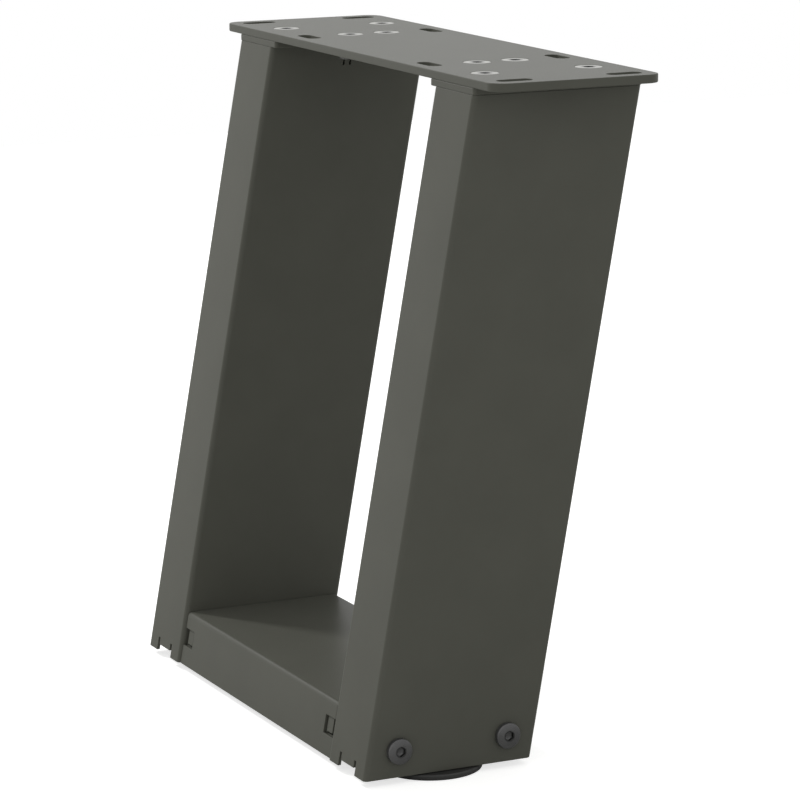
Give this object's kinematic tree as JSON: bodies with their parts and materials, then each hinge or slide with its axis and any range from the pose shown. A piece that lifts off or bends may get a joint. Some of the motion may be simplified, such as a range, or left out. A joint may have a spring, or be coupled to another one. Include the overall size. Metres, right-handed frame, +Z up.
{
  "type": "u-shaped table leg",
  "caption": "Leaning U-shaped table leg of folded sheet steel: screw plate above, two box legs, a low crosspiece and levelling feet.",
  "frame": {"origin": "middle of the screw plate's upper face, where it meets the table top", "axes": "+X along the plate's long side, +Z up through the plate, legs leaning towards -Y on their way down"},
  "size_m": [0.38, 0.1784, 0.404],
  "materials": {
    "powder_coat": "matt anthracite powder coat",
    "screw_steel": "zinc plated",
    "dark_steel": "black coated screws",
    "pad_plastic": "black plastic"
  },
  "bodies": {
    "frame": {"top_plate": "powder_coat", "crosspiece": "powder_coat", "left_leg": "powder_coat", "right_leg": "powder_coat", "left_flange": "powder_coat", "right_flange": "powder_coat", "left_end_bracket": "powder_coat", "right_end_bracket": "powder_coat", "left_foot_bracket": "powder_coat", "right_foot_bracket": "powder_coat", "left_top_screws": "screw_steel", "right_top_screws": "screw_steel", "left_top_nuts": "powder_coat", "right_top_nuts": "powder_coat", "left_side_screws": "dark_steel", "right_side_screws": "dark_steel", "left_side_nuts": "powder_coat", "right_side_nuts": "powder_coat", "left_foot_nut": "powder_coat", "right_foot_nut": "powder_coat"},
    "left_stud": {"left_foot_stud": "screw_steel"},
    "left_pad": {"left_foot_pad": "pad_plastic"},
    "right_stud": {"right_foot_stud": "screw_steel"},
    "right_pad": {"right_foot_pad": "pad_plastic"}
  },
  "joints": [
    {"name": "left_stud_travel", "type": "slide", "parent": "frame", "child": "left_stud", "axis": [0, 0, -1], "range_m": [0, 0.01]},
    {"name": "left_pad_turn", "type": "hinge", "parent": "left_stud", "child": "left_pad", "pos_m": [-0.1395, -0.07038, -0.4005], "axis": [0, 0, -1], "range_deg": [0, 2880]},
    {"name": "right_stud_travel", "type": "slide", "parent": "frame", "child": "right_stud", "axis": [0, 0, -1], "range_m": [0, 0.01]},
    {"name": "right_pad_turn", "type": "hinge", "parent": "right_stud", "child": "right_pad", "pos_m": [0.1395, -0.07038, -0.4005], "axis": [0, 0, -1], "range_deg": [0, 2880]}
  ],
  "couplings": [
    {"joint": "left_stud_travel", "follows": "left_pad_turn", "m_per_rad": 0.00019894},
    {"joint": "right_stud_travel", "follows": "right_pad_turn", "m_per_rad": 0.00019894}
  ]
}
